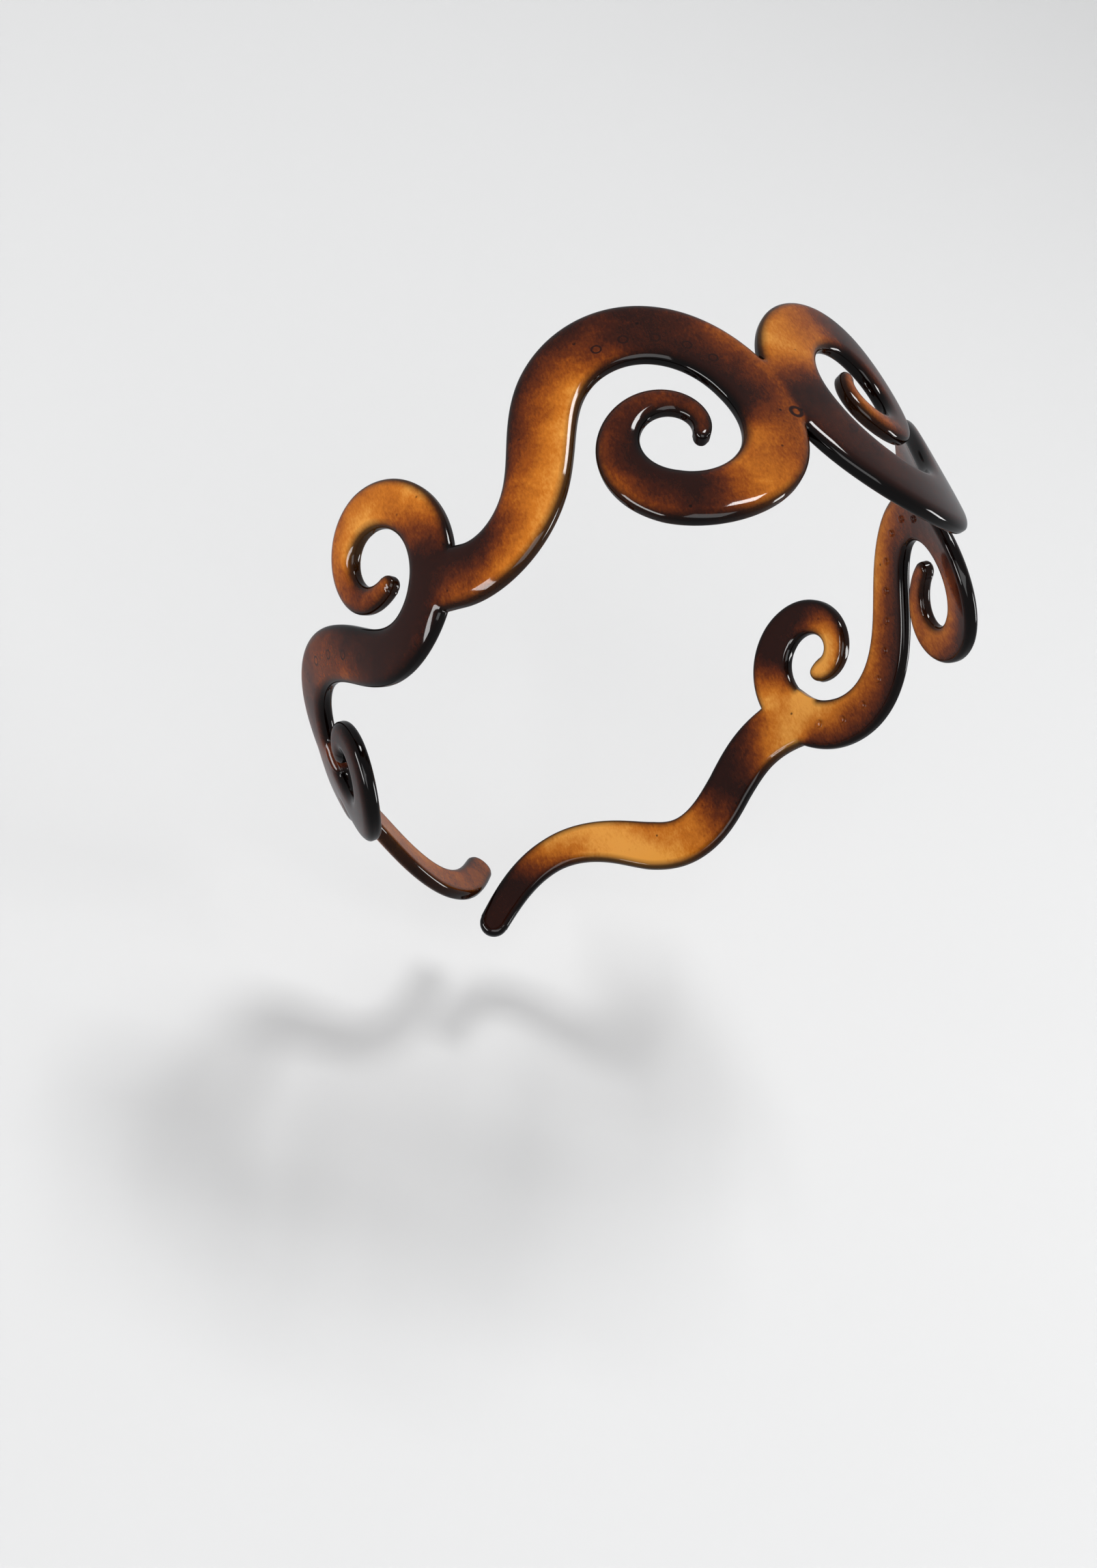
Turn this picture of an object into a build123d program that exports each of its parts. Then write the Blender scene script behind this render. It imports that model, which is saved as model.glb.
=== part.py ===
from build123d import *

import math
import os

# A scrolled hair band. Every stroke of its pattern is a ribbon of even thickness that lies on an
# arch. The pattern is drawn flat: s runs along the arch from the crown's middle, and w runs across
# it. The right half is the left half turned 180 degrees about the Z axis.
# The arch stands in the XZ plane with its left half at negative X, and Y runs across the band.
# The origin is where the crown's inner face rests on the head.

# ---- driving dimensions, mm and degrees ----
THICKNESS = 2.6
EDGE_RADIUS = 1.0
HALF_LENGTH = 185
ARCH_RADII = [53, 55, 63, 88, 125]  # at even stations, from the crown to a tip
TWIST = 14  # how far the surface leans about its length at a tip, none at the crown
CLEARANCE = 0.3  # between two bodies that move against each other

# A stroke's middle line starts at a place (s, w) with a heading, and turns at the given rates,
# degrees per mm, at even stations along its length. Its widths are at even stations too.
CROWN = {
    "start": (-62, -12.2),
    "heading": -25,
    "lead": 4,  # a straight run before the turning starts
    "length": 146,
    "turning": [6, 3, -3.6, -3.45, -2.55, -4.25, -4.75, -6.7, -13.3],
    "widths": [10, 11.1, 11.3, 9.2, 2.4],
}
SIDE = {
    "start": (-70.5, -4.9),
    "heading": 198,
    "lead": 0,
    "length": 158.5,
    "turning": [-7, -8.65, -4.95, -4.1, -5.85, 0.7, 3.7, 3.8, 5.85, 7.65, 16],
    "widths": [3.2, 7.5, 8.9, 9.2, 9.2, 7.8, 4.2],
}
ARM = {
    "start": (-115.5, -6.1),
    "heading": 194,
    "lead": 0,
    "length": 80,
    "turning": [-2.05, -3.6, 0.85, 5.95, -1.85, -3.8, -2, 0.35],
    "widths": [11, 9.1, 9.2, 6.7, 5.3],
}

# The seams between strokes run from notch to notch of the outline, given as (s, w).
MIDDLE_SEAM = [(-1.1, 7.1), (1.1, -7.1)]
CROWN_SEAM = [(-58.1, -8.5), (-63.7, -16.9)]
ARM_SEAM = [(-117.5, -1), (-121.8, -12)]

# Low round studs stand on the inner face in a row along a stroke's middle line, and grip the hair.
STUD_DIAMETER = 1.3
STUD_HEIGHT = 0.5
STUD_ROOT = 0.3  # how deep a stud is set into the ribbon
STUD_ROUNDING = 0.3  # of the free end's edge
CROWN_STUDS = (50, 71, 5, -2)  # first and last place along the line, how many, and offset to its left
SIDE_STUDS = (52, 108, 11, 0)

# ---- how finely the curves are followed ----
STEP = 0.5
SECTION_PITCH = 5
TIP_ANGLES = [65, 42, 25, 12]  # of the sections that round off a tip
THINNEST = 0.6  # width of the sections at a tip's very end
EDGE_SHARE = 0.4  # of a small section's width or height that its edge may take


def between(values, fraction):
    """The value at a fraction of the way along evenly spaced stations."""
    place = min(max(fraction, 0), 1) * (len(values) - 1)
    first = min(int(place), len(values) - 2)
    return values[first] + (values[first + 1] - values[first]) * (place - first)


def walk(start, heading, length, turning, lead=0):
    """The steps along a straight lead and a curve that turns, each as (x, y, heading)."""
    x, y = start
    places = [(x, y, heading)]
    lead_steps = round(lead / STEP)
    steps = round(length / STEP)
    for count in range(-lead_steps, steps):
        rate = between(turning, (count + 0.5) / steps) if count >= 0 else 0
        middle = math.radians(heading + rate * STEP / 2)
        x += STEP * math.cos(middle)
        y += STEP * math.sin(middle)
        heading += rate * STEP
        places.append((x, y, heading))
    return places


ARCH = walk((0, 0), 0, HALF_LENGTH, [-math.degrees(1 / radius) for radius in ARCH_RADII])


def on_arch(s, w, heading, side):
    """The plane across a line that lies on the arch at (s, w) and runs along a heading.

    Its X points to the line's left, its Y out of the arch and its Z along the line.
    """
    step = min(round(abs(s) / STEP), len(ARCH) - 1)
    x, z, slope = ARCH[step]
    ahead = abs(s) - STEP * step
    fall = math.radians(slope)
    x += ahead * math.cos(fall)
    z += ahead * math.sin(fall)
    if s < 0:
        x = -x
        fall = -fall
    along = Vector(math.cos(fall), 0, math.sin(fall))
    lean = math.radians(-TWIST * s / HALF_LENGTH)
    outward = Vector(-math.sin(fall), 0, math.cos(fall))
    across = Vector(0, 1, 0) * math.cos(lean) + outward * math.sin(lean)
    turn = math.radians(heading)
    forward = along * math.cos(turn) + across * math.sin(turn)
    leftward = across * math.cos(turn) - along * math.sin(turn)
    place = Vector(x, 0, z + THICKNESS / 2) + across * w
    if side == "right":
        place, forward, leftward = [v.rotate(Axis.Z, 180) for v in (place, forward, leftward)]
    return Plane(place, leftward, forward)


def middle_line(stroke):
    """The steps along a stroke's middle line."""
    return walk(stroke["start"], stroke["heading"], stroke["length"], stroke["turning"], stroke["lead"])


def stations(stroke, round_start):
    """Where a stroke's sections stand: (distance along it, share of the full width)."""
    length = stroke["lead"] + stroke["length"]
    first = 0
    places = []
    if round_start:
        first = stroke["widths"][0] / 2
        places += [(first * (1 - math.cos(math.radians(a))), math.sin(math.radians(a)))
                   for a in reversed(TIP_ANGLES)]
    last = stroke["widths"][-1] / 2
    count = round((length - first - last) / SECTION_PITCH)
    pitch = (length - first - last) / count
    places += [(first + pitch * number, 1) for number in range(count + 1)]
    places += [(length - last * (1 - math.cos(math.radians(a))), math.sin(math.radians(a)))
               for a in TIP_ANGLES]
    return places


def seam_plane(seam, side, gap):
    """The plane through a seam's two notches, moved towards the crown by a gap."""
    (s1, w1), (s2, w2) = seam
    heading = math.degrees(math.atan2(w2 - w1, s2 - s1))
    across = on_arch((s1 + s2) / 2, (w1 + w2) / 2, heading, side)
    return Plane(across.origin + across.x_dir * gap, across.z_dir, across.x_dir)


def make_ribbon(stroke, side, upper_seam, lower_seam, round_start=False):
    """A stroke lofted through its sections, and trimmed to its place between two seams."""
    line = middle_line(stroke)
    with BuildPart() as ribbon:
        for distance, share in stations(stroke, round_start):
            s, w, heading = line[round(distance / STEP)]
            along = (distance - stroke["lead"]) / stroke["length"]
            width = max(between(stroke["widths"], along) * share, THINNEST)
            height = THICKNESS * math.sqrt(share)
            with BuildSketch(on_arch(s, w, heading, side)):
                RectangleRounded(width, height, min(EDGE_RADIUS, EDGE_SHARE * min(width, height)))
        loft()
        if upper_seam == MIDDLE_SEAM:
            split(bisect_by=seam_plane(upper_seam, side, 0), keep=Keep.BOTTOM)
        elif upper_seam:
            split(bisect_by=seam_plane(upper_seam, side, -CLEARANCE / 2), keep=Keep.BOTTOM)
        if lower_seam:
            split(bisect_by=seam_plane(lower_seam, side, CLEARANCE / 2), keep=Keep.TOP)
    return ribbon.part


def make_studs(stroke, side, row):
    """A row of studs with rounded ends that stand on the inner face of a stroke."""
    line = middle_line(stroke)
    first, last, count, offset = row
    with BuildPart() as studs:
        for number in range(count):
            distance = first + (last - first) * number / (count - 1)
            across = on_arch(*line[round(distance / STEP)], side)
            foot = across.origin + across.x_dir * offset - across.y_dir * (THICKNESS / 2 - STUD_ROOT)
            with BuildSketch(Plane(foot, across.x_dir, -across.y_dir)):
                Circle(STUD_DIAMETER / 2)
            extrude(amount=STUD_ROOT + STUD_HEIGHT)
            end = foot - across.y_dir * (STUD_ROOT + STUD_HEIGHT)
            rims = studs.edges().filter_by(GeomType.CIRCLE).sort_by_distance(end)
            fillet(rims[:1], STUD_ROUNDING)
    return studs.part


def finish(piece, name):
    """Name a finished piece and write it."""
    piece.label = name
    export_step(piece, "parts/" + name + ".step")


os.makedirs("parts", exist_ok=True)

for side in ("left", "right"):
    # the crown scroll: from its root over the hump and into its curl
    finish(make_ribbon(CROWN, side, MIDDLE_SEAM, CROWN_SEAM), side + "_crown_scroll")
    finish(make_studs(CROWN, side, CROWN_STUDS), side + "_crown_studs")

    # the side scroll: a curl at each end, and the band between them
    finish(make_ribbon(SIDE, side, CROWN_SEAM, ARM_SEAM, round_start=True), side + "_side_scroll")
    finish(make_studs(SIDE, side, SIDE_STUDS), side + "_side_studs")

    # the wavy arm down to a tip
    finish(make_ribbon(ARM, side, ARM_SEAM, None), side + "_arm")
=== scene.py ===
import math

import bmesh
import bpy
import numpy as np
from mathutils import Matrix, Vector


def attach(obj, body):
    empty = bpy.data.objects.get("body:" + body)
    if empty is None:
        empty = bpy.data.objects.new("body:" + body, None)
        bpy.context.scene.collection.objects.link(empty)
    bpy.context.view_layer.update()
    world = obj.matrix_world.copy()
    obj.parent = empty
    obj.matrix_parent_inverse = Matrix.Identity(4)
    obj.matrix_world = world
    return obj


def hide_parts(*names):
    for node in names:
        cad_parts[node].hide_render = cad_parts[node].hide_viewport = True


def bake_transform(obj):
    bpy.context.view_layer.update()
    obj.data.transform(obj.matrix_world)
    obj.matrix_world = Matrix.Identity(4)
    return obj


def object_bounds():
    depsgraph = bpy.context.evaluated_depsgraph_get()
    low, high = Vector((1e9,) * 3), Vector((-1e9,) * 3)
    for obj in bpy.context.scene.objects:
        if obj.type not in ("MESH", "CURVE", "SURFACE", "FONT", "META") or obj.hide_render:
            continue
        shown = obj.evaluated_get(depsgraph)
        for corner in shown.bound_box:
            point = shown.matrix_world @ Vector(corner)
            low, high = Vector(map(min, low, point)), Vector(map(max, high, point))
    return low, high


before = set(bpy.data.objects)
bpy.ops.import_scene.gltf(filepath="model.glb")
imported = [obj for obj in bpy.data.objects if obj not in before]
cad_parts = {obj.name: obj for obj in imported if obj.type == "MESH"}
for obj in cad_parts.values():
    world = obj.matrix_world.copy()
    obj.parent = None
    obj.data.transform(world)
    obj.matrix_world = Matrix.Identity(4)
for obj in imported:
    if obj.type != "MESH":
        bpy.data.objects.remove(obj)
cad_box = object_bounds()

# A scrolled tortoiseshell hair band, drawn as a flat pattern and laid on an arch, as the CAD is.
# In the pattern s runs along the arch, w across it, and the height stands out of it, all in mm.

# ---- the CAD's driving dimensions, mm and degrees ----
MM = 0.001
THICKNESS = 2.6
HALF_LENGTH = 185
ARCH_RADII = [53, 55, 63, 88, 125]
TWIST = 14

CROWN = {
    "start": (-62, -12.2),
    "heading": -25,
    "lead": 4,
    "length": 146,
    "turning": [6, 3, -3.6, -3.45, -2.55, -4.25, -4.75, -6.7, -13.3],
    "widths": [10, 11.1, 11.3, 9.2, 2.4],
    "round_start": False,
}
SIDE = {
    "start": (-70.5, -4.9),
    "heading": 198,
    "lead": 0,
    "length": 158.5,
    "turning": [-7, -8.65, -4.95, -4.1, -5.85, 0.7, 3.7, 3.8, 5.85, 7.65, 16],
    "widths": [3.2, 7.5, 8.9, 9.2, 9.2, 7.8, 4.2],
    "round_start": True,
}
ARM = {
    "start": (-115.5, -6.1),
    "heading": 194,
    "lead": 0,
    "length": 80,
    "turning": [-2.05, -3.6, 0.85, 5.95, -1.85, -3.8, -2, 0.35],
    "widths": [11, 9.1, 9.2, 6.7, 5.3],
    "round_start": False,
}
MIDDLE_SEAM = [(-1.1, 7.1), (1.1, -7.1)]
CROWN_SEAM = [(-58.1, -8.5), (-63.7, -16.9)]
ARM_SEAM = [(-117.5, -1), (-121.8, -12)]

STUD_RADIUS = 0.65
STUD_HEIGHT = 0.5
STUD_DEPTH = 2  # how deep inside the outline a stud counts as, which keeps the painted rim shade off it
CROWN_STUDS = (50, 71, 5, -2)  # first, last, how many, offset to the line's left
SIDE_STUDS = (52, 108, 11, 0)
GATE_MARKS = [(0, -4.9), (-65, -11.9)]  # rings left by the mould near the seams
RING_REACH = 2  # how far from a centre a ring may show
RING_LIFT = 3  # what keeps a point clear of every ring

# ---- the moulded shape of a ribbon, mm ----
STEP = 0.5
EDGE_RADIUS = 1.0
EDGE_SHARE = 0.6  # of a narrow stroke's half width that its edge may take
SHOULDER = 1.9  # how far in from an edge the outer face starts to fall
SHOULDER_SHARE = 0.8  # of a narrow stroke's half width that its shoulder may take
DOME = 0.25  # how far the outer face rises in its middle
DOME_REACH = 4.4
NEIGHBOUR = 6  # strokes nearer than this may run together
WELD = 0.002  # points nearer than this are one

# ---- where the shell is dark, 0, and where it is amber, 1 ----
# At even stations along each stroke, on the left of its line and on the right.
JOIN_OVERLAP = 0.4  # mm outside its edge where a stroke still lends its tone
CROSS_FADE = 0.65  # how fast the left tone gives way to the right one, per half width
TONES = {
    ("left", "crown"): (
        [0.0, 0.0, 0.45, 0.3, 0.2, 0.15, 0.2, 0.55, 0.5, 0.45, 0.7, 0.2, 0.5, 0.3, 0.3, 0.35],
        [0.4, 0.65, 0.75, 0.78, 0.78, 0.45, 0.12, 0.05, 0.02, 0.6, 0.6, 0.1, 0.05, 0.1, 0.35, 0.35],
    ),
    ("left", "side"): (
        [0.5, 0.4, 0.55, 0.6, 0.75, 0.1, 0.2, 0.1, 0.4, 0.35, 0.2, 0.2, 0.2, 0.1, 0.05, 0.05, 0.1],
        [0.5, 0.4, 0.8, 0.85, 0.4, 0.05, 0.0, 0.1, 0.2, 0.3, 0.4, 0.25, 0.3, 0.15, 0.1, 0.15, 0.15],
    ),
    ("left", "arm"): (
        [0.3, 0.3, 0.15, 0.5, 0.6, 0.5, 0.4, 0.5, 0.5],
        [0.3, 0.2, 0.1, 0.4, 0.5, 0.6, 0.5, 0.4, 0.4],
    ),
    ("right", "crown"): (
        [0.2, 0.2, 0.2, 0.15, 0.1, 0.05, 0.08, 0.15, 0.15, 0.8, 0.55, 0.15, 0.25, 0.2, 0.5, 0.55],
        [0.3, 0.4, 0.35, 0.2, 0.15, 0.15, 0.2, 0.25, 0.15, 0.65, 0.6, 0.15, 0.3, 0.15, 0.5, 0.55],
    ),
    # On the right side and arm the amber values are raised, partly as painted glow: light shining
    # through the shell onto their inner faces.
    ("right", "side"): (
        [0.4, 0.6, 0.4, 0.1, 0.2, 0.15, 0.6, 0.75, 0.65, 0.65, 0.7, 0.85, 0.65, 0.05, 0.3, 0.95, 0.95],
        [0.4, 0.4, 0.7, 0.6, 0.45, 0.25, 0.3, 0.2, 0.15, 0.25, 0.2, 0.3, 0.9, 0.1, 0.08, 0.45, 0.9],
    ),
    ("right", "arm"): (
        [1.0, 0.25, 0.05, 0.65, 0.6, 0.9, 0.8, 0.1, 0.05],
        [0.95, 0.65, 0.08, 0.6, 1.0, 0.8, 0.4, 0.08, 0.05],
    ),
}


# ---- the pattern and the arch ----
BATCH = 1000  # how many places are measured at once, to spare memory


def walk(start, heading, length, turning, lead=0):
    """The steps along a straight lead and a curve that turns: rows of x, y and heading."""
    steps = round(length / STEP)
    share = (np.arange(-round(lead / STEP), steps) + 0.5) / steps
    rates = np.interp(share, np.linspace(0, 1, len(turning)), turning)
    rates[share < 0] = 0
    headings = heading + np.concatenate([[0], np.cumsum(rates * STEP)])
    middles = np.radians(headings[:-1] + rates * STEP / 2)
    x = start[0] + np.concatenate([[0], np.cumsum(STEP * np.cos(middles))])
    y = start[1] + np.concatenate([[0], np.cumsum(STEP * np.sin(middles))])
    return np.column_stack([x, y, headings])


ARCH = walk((0, 0), 0, HALF_LENGTH, [-math.degrees(1 / radius) for radius in ARCH_RADII])


def on_arch(flat):
    """Points of the pattern (s, w, height) in mm, as points in the row frame in metres."""
    s, w, height = flat.T
    reach = np.abs(s)
    distance = STEP * np.arange(len(ARCH))
    beyond = np.maximum(reach - HALF_LENGTH, 0)
    fall = np.radians(np.interp(reach, distance, ARCH[:, 2]))
    x = np.interp(reach, distance, ARCH[:, 0]) + beyond * np.cos(fall)
    z = np.interp(reach, distance, ARCH[:, 1]) + beyond * np.sin(fall) + THICKNESS / 2
    half = np.where(s < 0, -1, 1)
    fall = fall * half
    nought = np.zeros(len(s))
    lean = np.radians(-TWIST * s / HALF_LENGTH)[:, None]
    outward = np.column_stack([-np.sin(fall), nought, np.cos(fall)])
    sideways = np.array([0, 1, 0])
    across = sideways * np.cos(lean) + outward * np.sin(lean)
    normal = outward * np.cos(lean) - sideways * np.sin(lean)
    place = np.column_stack([x * half, nought, z])
    return (place + across * w[:, None] + normal * height[:, None]) * MM


def half_turn(side):
    """The right half is the left half turned 180 degrees in the pattern."""
    return 1 if side == "left" else -1


def full_width(stroke, distance):
    """A stroke's width at a distance along it, tips left square."""
    share = (distance - stroke["lead"]) / stroke["length"]
    return np.interp(share, np.linspace(0, 1, len(stroke["widths"])), stroke["widths"])


def core(stroke):
    """The stretch of a stroke between the centres of its round tips."""
    end = stroke["lead"] + stroke["length"] - stroke["widths"][-1] / 2
    return (stroke["widths"][0] / 2 if stroke["round_start"] else 0), end


def middle_line(stroke):
    """The steps along a stroke's middle line, and their distances along it."""
    steps = walk(stroke["start"], stroke["heading"], stroke["length"], stroke["turning"], stroke["lead"])
    return steps, STEP * np.arange(len(steps))


def place_on_line(stroke, distance):
    """Where a stroke's middle line is at a distance along it, and its heading in radians."""
    steps, distances = middle_line(stroke)
    s, w, heading = (np.interp(distance, distances, steps[:, k]) for k in range(3))
    return s, w, np.radians(heading)


def make_line(side, name, stroke):
    """What is known about each step of a stroke's middle line."""
    steps, distance = middle_line(stroke)
    first, last = core(stroke)
    inside = (distance >= first) & (distance <= last)
    turn = half_turn(side)
    heading = np.radians(steps[inside, 2])
    left_tones, right_tones = TONES[(side, name)]
    stations = np.linspace(0, distance[-1], len(left_tones))
    return {
        "points": steps[inside, :2] * turn,
        "leftward": np.column_stack([-np.sin(heading), np.cos(heading)]) * turn,
        "half": full_width(stroke, distance[inside]) / 2,
        "left": np.interp(distance[inside], stations, left_tones),
        "right": np.interp(distance[inside], stations, right_tones),
    }


STROKES = {"crown": CROWN, "side": SIDE, "arm": ARM}
LINES = {
    (side, name): make_line(side, name, stroke)
    for side in ("left", "right")
    for name, stroke in STROKES.items()
}


def nearest_step(line, places):
    """How deep each place lies inside a stroke, and the step of its line that it lies by."""
    depth = np.empty(len(places))
    step = np.empty(len(places), int)
    for start in range(0, len(places), BATCH):
        part = slice(start, start + BATCH)
        away = places[part, None, :] - line["points"][None, :, :]
        inside = line["half"] - np.hypot(away[..., 0], away[..., 1])
        step[part] = inside.argmax(1)
        depth[part] = inside.max(1)
    return depth, step


def shell_tone(places):
    """How amber the shell is at each place, eased from stroke to stroke where they join."""
    total = np.full(len(places), 1e-6)
    tone = np.zeros(len(places))
    for line in LINES.values():
        depth, step = nearest_step(line, places)
        away = places - line["points"][step]
        offset = (away * line["leftward"][step]).sum(1) / line["half"][step]
        to_left = np.clip(0.5 + CROSS_FADE * offset, 0, 1)
        own = line["left"][step] * to_left + line["right"][step] * (1 - to_left)
        weight = np.maximum(depth + JOIN_OVERLAP, 0) ** 2
        total += weight
        tone += weight * own
    return tone / total


# ---- the ribbons ----
def rows_of(stroke):
    """Each row across a stroke.

    A row is its distance, its half width, how far past a tip's centre it is, and the half width
    that the stroke has there before it is rounded.
    """
    first, last = core(stroke)
    end = stroke["widths"][-1] / 2
    tip = [math.radians(angle) for angle in range(90, 0, -8)]
    rows = []
    if stroke["round_start"]:
        for angle in tip:
            past = first * math.sin(angle)
            rows.append((first - past, first * math.cos(angle), past, first))
    for distance in np.linspace(first, last, round((last - first) / STEP) + 1):
        half = float(full_width(stroke, distance)) / 2
        rows.append((distance, half, 0, half))
    for angle in reversed(tip):
        past = end * math.sin(angle)
        rows.append((last + past, end * math.cos(angle), past, end))
    return rows


def offsets_across(half, full):
    """The places of a row's points from the left edge to the right, closer near the edges."""
    shoulder = min(SHOULDER, SHOULDER_SHARE * full) * half / full
    rim = [shoulder * (1 - math.cos(math.radians(angle))) for angle in range(0, 90, 9)]
    left = [half - depth for depth in [*rim, *np.linspace(shoulder, half, 6)]]
    return left + [-place for place in reversed(left[:-1])]


def ribbon_points(stroke, side, name):
    """The pattern places, own depth and reach of every point in a grid of rows."""
    places = []
    depths = []
    reaches = []
    for distance, half, past, full in rows_of(stroke):
        s, w, heading = place_on_line(stroke, distance)
        for offset in offsets_across(half, full):
            places.append((s - offset * math.sin(heading), w + offset * math.cos(heading)))
            depths.append(full - math.hypot(offset, past))
            reaches.append(full)
    return np.array(places) * half_turn(side), np.array(depths), np.array(reaches)


def outer_height(depth, reach):
    """The outer face: a broad round shoulder and a low dome."""
    radius = np.minimum(EDGE_RADIUS, EDGE_SHARE * reach)
    shoulder = np.minimum(SHOULDER, SHOULDER_SHARE * reach)
    edge = np.sqrt(1 - (1 - np.clip(depth / shoulder, 0, 1)) ** 2)
    dome = 1 - (1 - np.clip(depth / np.minimum(reach, DOME_REACH), 0, 1)) ** 2
    rise = DOME * np.minimum(reach / DOME_REACH, 1)
    return THICKNESS / 2 - radius * (1 - edge) + rise * dome


def inner_height(depth, reach):
    """The inner face: a round edge and a flat middle."""
    radius = np.minimum(EDGE_RADIUS, EDGE_SHARE * reach)
    edge = np.sqrt(1 - (1 - np.clip(depth / radius, 0, 1)) ** 2)
    return radius * (1 - edge) - THICKNESS / 2


def seam_line(seam, side):
    """A seam's middle, and the way from it down the arch, in the pattern."""
    start, end = np.array(seam) * half_turn(side)
    along = (end - start) / np.hypot(*(end - start))
    return (start + end) / 2, np.array([along[1], -along[0]])


def cut_at(bm, seam, side, keep_below):
    """Trim a flat ribbon along a seam, and close it there."""
    middle, down = seam_line(seam, side)
    done = bmesh.ops.bisect_plane(
        bm,
        geom=bm.verts[:] + bm.edges[:] + bm.faces[:],
        dist=1e-6,
        plane_co=(*middle, 0),
        plane_no=(*down, 0),
        clear_outer=not keep_below,
        clear_inner=keep_below,
    )
    cut = [part for part in done["geom_cut"] if isinstance(part, bmesh.types.BMEdge)]
    bmesh.ops.edgeloop_fill(bm, edges=[edge for edge in cut if len(edge.link_faces) == 1])


def edges_of(side, name):
    """The left and the right edge of a stroke, each as points in the pattern."""
    distance, half = np.array(rows_of(STROKES[name]))[:, :2].T
    s, w, heading = place_on_line(STROKES[name], distance)
    left = np.column_stack([s - half * np.sin(heading), w + half * np.cos(heading)])
    right = np.column_stack([s + half * np.sin(heading), w - half * np.cos(heading)])
    return left * half_turn(side), right * half_turn(side)


def deepest_in_others(side, name, places):
    """How deep each place lies inside the strokes that run into this one."""
    depths = [nearest_step(line, places)[0] for key, line in LINES.items() if key != (side, name)]
    return np.max(depths, axis=0)


def make_outline():
    """The whole pattern's outline, as the two ends of each of its short pieces.

    Edges inside another stroke aren't part of it, and those that cross one are cut short.
    """
    starts = []
    ends = []
    for side, name in LINES:
        for edge in edges_of(side, name):
            inside = deepest_in_others(side, name, edge)
            for a, b, deep_a, deep_b in zip(edge, edge[1:], inside, inside[1:]):
                if deep_a >= 0 and deep_b >= 0:
                    continue
                if deep_a * deep_b < 0:
                    crossing = a + (b - a) * deep_a / (deep_a - deep_b)
                    if deep_a < 0:
                        b = crossing
                    else:
                        a = crossing
                starts.append(a)
                ends.append(b)
    return np.array(starts), np.array(ends)


OUTLINE = make_outline()


def outline_distance(places):
    """How far each place is from the whole outline."""
    starts, ends = OUTLINE
    along = ends - starts
    length = np.maximum((along**2).sum(1), 1e-12)
    nearest = np.empty(len(places))
    for first in range(0, len(places), BATCH):
        part = slice(first, first + BATCH)
        away = places[part, None, :] - starts
        share = np.clip((away * along).sum(-1) / length, 0, 1)
        gap = away - share[..., None] * along
        nearest[part] = np.hypot(gap[..., 0], gap[..., 1]).min(1)
    return nearest


def joined_depth(side, name, places, own):
    """How deep each point of a stroke lies inside the whole outline, strokes run together."""
    depth = np.clip(own, 0, None)
    near = deepest_in_others(side, name, places) > -NEIGHBOUR
    depth[near] = outline_distance(places[near])
    return depth


def make_ribbon(side, name, upper_seam, lower_seam):
    """One stroke of one half as a closed mesh, still flat."""
    stroke = STROKES[name]
    places, own, reach = ribbon_points(stroke, side, name)
    depth = joined_depth(side, name, places, own)
    row_count = len(rows_of(stroke))
    across = len(places) // row_count
    top = np.column_stack([places, outer_height(depth, reach)])
    bottom = np.column_stack([places, inner_height(depth, reach)])
    bm = bmesh.new()
    depth_layer = bm.verts.layers.float.new("depth")
    rings = []
    for row in range(row_count):
        part = slice(row * across, (row + 1) * across)
        ring = []
        for face, order in ((top[part], 1), (bottom[part], -1)):
            for point, deep in zip(face[::order], depth[part][::order]):
                vert = bm.verts.new(point)
                vert[depth_layer] = deep
                ring.append(vert)
        rings.append(ring)
    for ahead, behind in zip(rings[1:], rings):
        for k in range(len(behind)):
            after = (k + 1) % len(behind)
            bm.faces.new((behind[k], behind[after], ahead[after], ahead[k]))
    if not stroke["round_start"]:
        bm.faces.new(rings[0])
    bmesh.ops.remove_doubles(bm, verts=bm.verts[:], dist=WELD)
    if upper_seam:
        cut_at(bm, upper_seam, side, True)
    if lower_seam:
        cut_at(bm, lower_seam, side, False)
    bmesh.ops.recalc_face_normals(bm, faces=bm.faces[:])
    # a cap at a seam or a square end has many corners, and stays flat with sharp edges
    for face in bm.faces:
        face.smooth = len(face.verts) < 8
    for edge in bm.edges:
        edge.smooth = all(face.smooth for face in edge.link_faces)
    mesh = bpy.data.meshes.new(side + "_" + name)
    bm.to_mesh(mesh)
    bm.free()
    return mesh


def stud_feet(stroke, row):
    """The pattern places of a row of studs."""
    steps, _ = middle_line(stroke)
    first, last, count, offset = row
    feet = []
    for distance in np.linspace(first, last, count):
        s, w, heading = steps[round(distance / STEP)]
        turn = math.radians(heading)
        feet.append((s - offset * math.sin(turn), w + offset * math.cos(turn)))
    return feet


def way_from_nearest(centres, flat):
    """The way to each point from the nearest of some centres, lifted clear where no ring shows.

    Rings show through the outer face, so points on the inner face are lifted too.
    """
    away = flat[:, None, :2] - np.array(centres)
    distance = np.hypot(away[..., 0], away[..., 1])
    way = away[np.arange(len(flat)), distance.argmin(1)]
    clear = (distance.min(1) > RING_REACH) | (flat[:, 2] < 0)
    return np.column_stack([way, RING_LIFT * clear])


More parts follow.
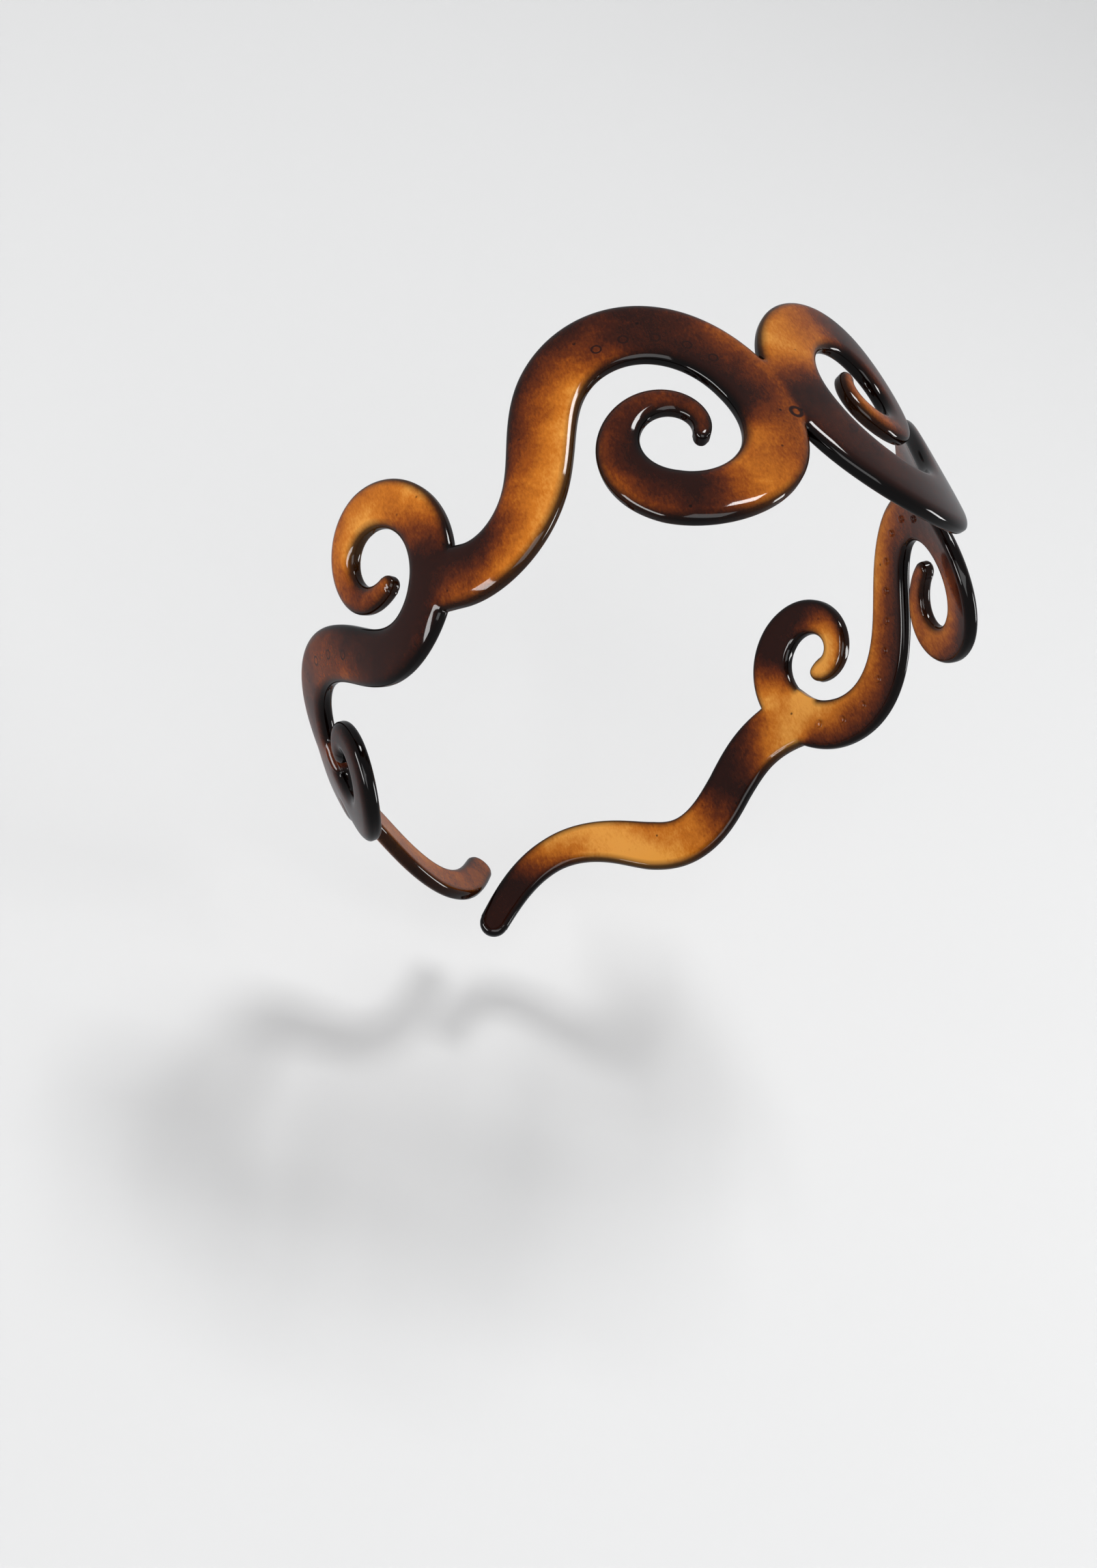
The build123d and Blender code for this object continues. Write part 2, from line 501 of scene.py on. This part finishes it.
def dress(mesh, side):
    """Lay a flat mesh on the arch, and keep what its material reads as attributes."""
    flat = np.array([vertex.co for vertex in mesh.vertices])
    tone = shell_tone(flat[:, :2]).astype(np.float32)
    mesh.attributes.new("tone", "FLOAT", "POINT").data.foreach_set("value", tone)
    feet = np.array(stud_feet(CROWN, CROWN_STUDS) + stud_feet(SIDE, SIDE_STUDS)) * half_turn(side)
    stud = way_from_nearest(feet, flat)
    mark = way_from_nearest(GATE_MARKS, flat)
    for key, values in (("pattern", flat), ("stud", stud), ("mark", mark)):
        layer = mesh.attributes.new(key, "FLOAT_VECTOR", "POINT")
        layer.data.foreach_set("vector", values.astype(np.float32).ravel())
    mesh.vertices.foreach_set("co", on_arch(flat).astype(np.float32).ravel())
    mesh.update()
    return mesh


def stud_profile():
    """A stud's outline as shares of its radius and height: a soft foot, then a domed end."""
    dome = [(0.5 + 0.5 * math.cos(a), 0.55 + 0.4 * math.sin(a)) for a in np.radians(range(15, 90, 15))]
    return [(1.45, -0.05), (1.2, 0.03), (1.06, 0.12), (1.0, 0.3), *dome, (0.25, 1.0), (0.02, 1.0)]


def make_studs(side, name, row):
    """A row of low round studs on the inner face."""
    sides = 24
    bm = bmesh.new()
    depth_layer = bm.verts.layers.float.new("depth")
    for foot in np.array(stud_feet(STROKES[name], row)) * half_turn(side):
        rings = []
        for radius, rise in stud_profile():
            height = -THICKNESS / 2 - rise * STUD_HEIGHT
            ring = []
            for angle in np.linspace(0, math.tau, sides, endpoint=False):
                outward = radius * STUD_RADIUS * np.array([math.cos(angle), math.sin(angle)])
                vert = bm.verts.new((*(foot + outward), height))
                vert[depth_layer] = STUD_DEPTH
                ring.append(vert)
            rings.append(ring)
        for lower, upper in zip(rings, rings[1:]):
            for k in range(sides):
                after = (k + 1) % sides
                bm.faces.new((lower[k], upper[k], upper[after], lower[after]))
        bm.faces.new(rings[0])
        bm.faces.new(rings[-1][::-1])
    bmesh.ops.recalc_face_normals(bm, faces=bm.faces[:])
    for face in bm.faces:
        face.smooth = True
    mesh = bpy.data.meshes.new(side + "_" + name + "_studs")
    bm.to_mesh(mesh)
    bm.free()
    return mesh


# ---- the tortoiseshell ----
def grey(value):
    """A colour of equal red, green and blue."""
    return (value, value, value)


SHELL_COLOURS = [
    (0.0, (0.012, 0.0024, 0.0012)),
    (0.16, (0.030, 0.0052, 0.0014)),
    (0.33, (0.082, 0.0150, 0.0018)),
    (0.50, (0.185, 0.042, 0.0028)),
    (0.72, (0.345, 0.103, 0.008)),
    (0.98, (0.510, 0.220, 0.038)),
]
TONE_GAIN = 1.3  # contrast of the drawn tones, and what is taken off them
TONE_DROP = 0.17
CLOUDS = 0.4  # how strongly the clouds, the wisps and the grain change the tone
WISPS = 0.3
GRAIN = 0.4
# painted shade: the shell darkens to near black within about 1.5 mm of the outline, where its rims look
# dark
RIM_SHADE_SCALE = 0.65  # from mm inside the outline to a place on the painted rim shade's ramp
PAINTED_RIM_SHADE = [(0.0, grey(0.05)), (0.25, grey(0.1)), (0.55, grey(0.55)), (1.0, grey(1.0))]
RINGS = [("stud", 0.7, 0.2, 0.4), ("mark", 0.9, 0.4, 0.7)]  # name, radius and width in mm, strength
POLISH = {
    "Roughness": 0.3,
    "Specular IOR Level": 0,
    "IOR": 1.5,
    "Coat Weight": 1.0,
    "Coat Roughness": 0.07,
    "Coat IOR": 1.34,
    "Subsurface Weight": 0.15,
    "Subsurface Radius": (1.0, 0.35, 0.1),
    "Subsurface Scale": 0.0015,
}


def node(tree, kind, **inputs):
    """A shader node with some of its sockets set or linked."""
    made = tree.nodes.new(kind)
    for key, value in inputs.items():
        socket = made.inputs[key.replace("_", " ")]
        if isinstance(value, bpy.types.NodeSocket):
            tree.links.new(value, socket)
        else:
            socket.default_value = value
    return made


def maths(tree, operation, first, second=0.5, third=0.0):
    """A maths node's result."""
    made = tree.nodes.new("ShaderNodeMath")
    made.operation = operation
    for socket, value in zip(made.inputs, (first, second, third)):
        if isinstance(value, bpy.types.NodeSocket):
            tree.links.new(value, socket)
        else:
            socket.default_value = value
    return made.outputs[0]


def attribute(tree, name, output="Fac"):
    """One of the mesh's own attributes."""
    made = tree.nodes.new("ShaderNodeAttribute")
    made.attribute_name = name
    return made.outputs[output]


def ramp(tree, factor, stops):
    """A colour ramp over (place, colour) stops."""
    made = tree.nodes.new("ShaderNodeValToRGB")
    elements = made.color_ramp.elements
    while len(elements) < len(stops):
        elements.new(0.5)
    for element, (place, colour) in zip(elements, stops):
        element.position = place
        element.color = (*colour, 1)
    tree.links.new(factor, made.inputs["Fac"])
    return made.outputs["Color"]


def times(tree, colour, shade):
    """A colour multiplied by another colour or by a value."""
    made = tree.nodes.new("ShaderNodeMix")
    made.data_type = "RGBA"
    made.blend_type = "MULTIPLY"
    made.inputs["Factor"].default_value = 1
    tree.links.new(colour, made.inputs[6])
    tree.links.new(shade, made.inputs[7])
    return made.outputs[2]


def shell_clouds(tree, pattern):
    """How amber the shell is: the drawn tone, with soft clouds, fine grain and dark rings."""
    # clouds of 10 mm and 3 mm push the drawn tone about
    clouds = node(tree, "ShaderNodeTexNoise", Vector=pattern,
                  Scale=0.1, Detail=3, Roughness=0.5, Distortion=0.6)
    wisps = node(tree, "ShaderNodeTexNoise", Vector=pattern,
                 Scale=0.32, Detail=4, Roughness=0.6, Distortion=1.2)
    tone = maths(tree, "MULTIPLY_ADD", attribute(tree, "tone"), TONE_GAIN, -TONE_DROP)
    tone = maths(tree, "MULTIPLY_ADD", clouds.outputs["Fac"], CLOUDS, tone)
    tone = maths(tree, "MULTIPLY_ADD", wisps.outputs["Fac"], WISPS, tone)
    tone = maths(tree, "SUBTRACT", tone, (CLOUDS + WISPS) / 2)

    # a grain of half a millimetre
    stretch = node(tree, "ShaderNodeMapping", Vector=pattern, Scale=(1.0, 0.45, 1.0))
    grain = node(tree, "ShaderNodeTexNoise", Vector=stretch.outputs["Vector"],
                 Scale=2.6, Detail=3, Roughness=0.7)
    tone = maths(tree, "MULTIPLY_ADD", grain.outputs["Fac"], GRAIN, tone)
    tone = maths(tree, "SUBTRACT", tone, GRAIN / 2)

    # a dark ring where a stud stands behind, and one at each gate mark
    for name, radius, width, strength in RINGS:
        length = tree.nodes.new("ShaderNodeVectorMath")
        length.operation = "LENGTH"
        tree.links.new(attribute(tree, name, "Vector"), length.inputs[0])
        away = maths(tree, "ABSOLUTE", maths(tree, "SUBTRACT", length.outputs["Value"], radius))
        ring = node(tree, "ShaderNodeMapRange", Value=away,
                    From_Min=0.0, From_Max=width, To_Min=strength, To_Max=0.0)
        tone = maths(tree, "SUBTRACT", tone, ring.outputs["Result"])
    return tone


def shell_colour(tree, pattern):
    """Amber to dark brown by tone, with dark specks and painted shade at the rims."""
    colour = ramp(tree, shell_clouds(tree, pattern), SHELL_COLOURS)
    # painted shade: the colour darkens near the outline, by each point's depth inside it
    edge = ramp(tree, maths(tree, "MULTIPLY", attribute(tree, "depth"), RIM_SHADE_SCALE), PAINTED_RIM_SHADE)
    cells = node(tree, "ShaderNodeTexVoronoi", Vector=pattern, Scale=0.22)
    speck = node(tree, "ShaderNodeMapRange", Value=cells.outputs["Distance"],
                 From_Min=0.04, From_Max=0.075, To_Min=0.25, To_Max=1.0)
    return times(tree, times(tree, colour, edge), speck.outputs["Result"])


def make_shell():
    """Glossy cast tortoiseshell, a little soft inside, with faint waves left by the mould."""
    material = bpy.data.materials.new("tortoiseshell")
    material.use_nodes = True
    tree = material.node_tree
    shader = tree.nodes["Principled BSDF"]
    pattern = attribute(tree, "pattern", "Vector")
    tree.links.new(shell_colour(tree, pattern), shader.inputs["Base Color"])
    ripple = node(tree, "ShaderNodeTexNoise", Vector=pattern, Scale=0.25, Detail=2, Roughness=0.4)
    bump = node(tree, "ShaderNodeBump", Strength=0.12, Distance=0.0006, Height=ripple.outputs["Fac"])
    tree.links.new(bump.outputs["Normal"], shader.inputs["Normal"])
    for key, value in POLISH.items():
        shader.inputs[key].default_value = value
    return material


SHELL = make_shell()


def add_piece(mesh, name, nodes):
    """Put a finished mesh in the scene in place of its CAD nodes."""
    piece = bpy.data.objects.new(name, mesh)
    bpy.context.scene.collection.objects.link(piece)
    mesh.materials.append(SHELL)
    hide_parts(*nodes)
    return piece


def bend_at(piece):
    """Bake a piece's placement into its mesh."""
    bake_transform(piece)


for side in ("left", "right"):
    # the crown's scroll and its studs keep with the crown
    mesh = dress(make_ribbon(side, "crown", MIDDLE_SEAM, CROWN_SEAM), side)
    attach(add_piece(mesh, side + "_crown_shell", [side + "_crown_scroll"]), "crown")
    mesh = dress(make_studs(side, "crown", CROWN_STUDS), side)
    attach(add_piece(mesh, side + "_crown_stud_row", [side + "_crown_studs"]), "crown")

    # the side's scroll and its studs
    mesh = dress(make_ribbon(side, "side", CROWN_SEAM, ARM_SEAM), side)
    piece = add_piece(mesh, side + "_side_shell", [side + "_side_scroll"])
    bend_at(piece)
    mesh = dress(make_studs(side, "side", SIDE_STUDS), side)
    piece = add_piece(mesh, side + "_side_stud_row", [side + "_side_studs"])
    bend_at(piece)

    # the arm
    mesh = dress(make_ribbon(side, "arm", ARM_SEAM, None), side)
    piece = add_piece(mesh, side + "_arm_shell", [side + "_arm"])
    bend_at(piece)


# ---- the pale floor, which rises into a round wall, in metres ----
FLOOR_GAP = 0.025  # below the closed arms
FLOOR_RADIUS = 1.2
FLOOR_CURVE = 0.4  # radius of the curve from the floor to the wall
WALL_TOP = 1.2


def make_stage():
    """A floor, low enough for the open arms, that curves up all round."""
    low = cad_box[0].z - FLOOR_GAP
    profile = [(0.02, 0), (0.2, 0), (0.6, 0), (FLOOR_RADIUS, 0)]
    for angle in np.radians(range(10, 91, 10)):
        outward = FLOOR_CURVE * math.sin(angle)
        profile.append((FLOOR_RADIUS + outward, FLOOR_CURVE - FLOOR_CURVE * math.cos(angle)))
    profile.append((FLOOR_RADIUS + FLOOR_CURVE, WALL_TOP))
    sides = 96
    bm = bmesh.new()
    rings = []
    for radius, rise in profile:
        ring = []
        for k in range(sides):
            turn = math.tau * k / sides
            ring.append(bm.verts.new((radius * math.cos(turn), radius * math.sin(turn), low + rise)))
        rings.append(ring)
    bm.faces.new(rings[0])
    for inner, outer in zip(rings, rings[1:]):
        for k in range(sides):
            after = (k + 1) % sides
            bm.faces.new((inner[k], outer[k], outer[after], inner[after]))
    for face in bm.faces:
        face.smooth = True
    mesh = bpy.data.meshes.new("floor")
    bm.to_mesh(mesh)
    bm.free()
    floor = bpy.data.objects.new("floor", mesh)
    bpy.context.scene.collection.objects.link(floor)
    material = bpy.data.materials.new("floor")
    material.use_nodes = True
    shader = material.node_tree.nodes["Principled BSDF"]
    shader.inputs["Base Color"].default_value = (*grey(0.57), 1)
    shader.inputs["Roughness"].default_value = 0.9
    mesh.materials.append(material)
    floor.visible_glossy = False


make_stage()


# ---- soft light ----
def add_softbox(name, place, target, width, height, power):
    """A rectangular light that faces a target."""
    data = bpy.data.lights.new(name, "AREA")
    data.shape = "RECTANGLE"
    data.size = width
    data.size_y = height
    data.energy = power
    light = bpy.data.objects.new(name, data)
    light.location = place
    light.rotation_mode = "QUATERNION"
    light.rotation_quaternion = (Vector(target) - Vector(place)).to_track_quat("-Z", "Y")
    light.visible_camera = False
    bpy.context.scene.collection.objects.link(light)


middle = (cad_box[0] + cad_box[1]) / 2
add_softbox("front", (-0.5, -1.1, 1.2), middle, 1.2, 1.0, 12)
add_softbox("key", (0.08, 0.22, 0.78), middle, 0.26, 0.2, 5)
add_softbox("fill", (-1.4, -0.3, 0.14), middle, 1.1, 0.32, 18)
add_softbox("window", (0.8, -0.35, 0.15), middle, 0.2, 0.4, 5)
world = bpy.data.worlds.new("studio")
world.use_nodes = True
world.node_tree.nodes["Background"].inputs["Color"].default_value = (0.95, 0.97, 1.0, 1)
world.node_tree.nodes["Background"].inputs["Strength"].default_value = 0.35
bpy.context.scene.world = world
bpy.context.scene.view_settings.view_transform = "Standard"

# ---- the camera ----
data = bpy.data.cameras.new("camera")
data.lens = 57.23
data.sensor_width = 36
data.clip_start = 0.01
data.clip_end = 20
camera = bpy.data.objects.new("camera", data)
rightward = Vector((0.89453, -0.26391, 0.36078))
downward = Vector((0.01327, -0.79108, -0.61157))
forward = Vector((0.44681, 0.55186, -0.70414))
turned = Matrix((rightward, -downward, -forward)).transposed().to_4x4()
camera.matrix_world = Matrix.Translation((-0.2017, -0.2482, 0.2208)) @ turned
bpy.context.scene.collection.objects.link(camera)
bpy.context.scene.camera = camera
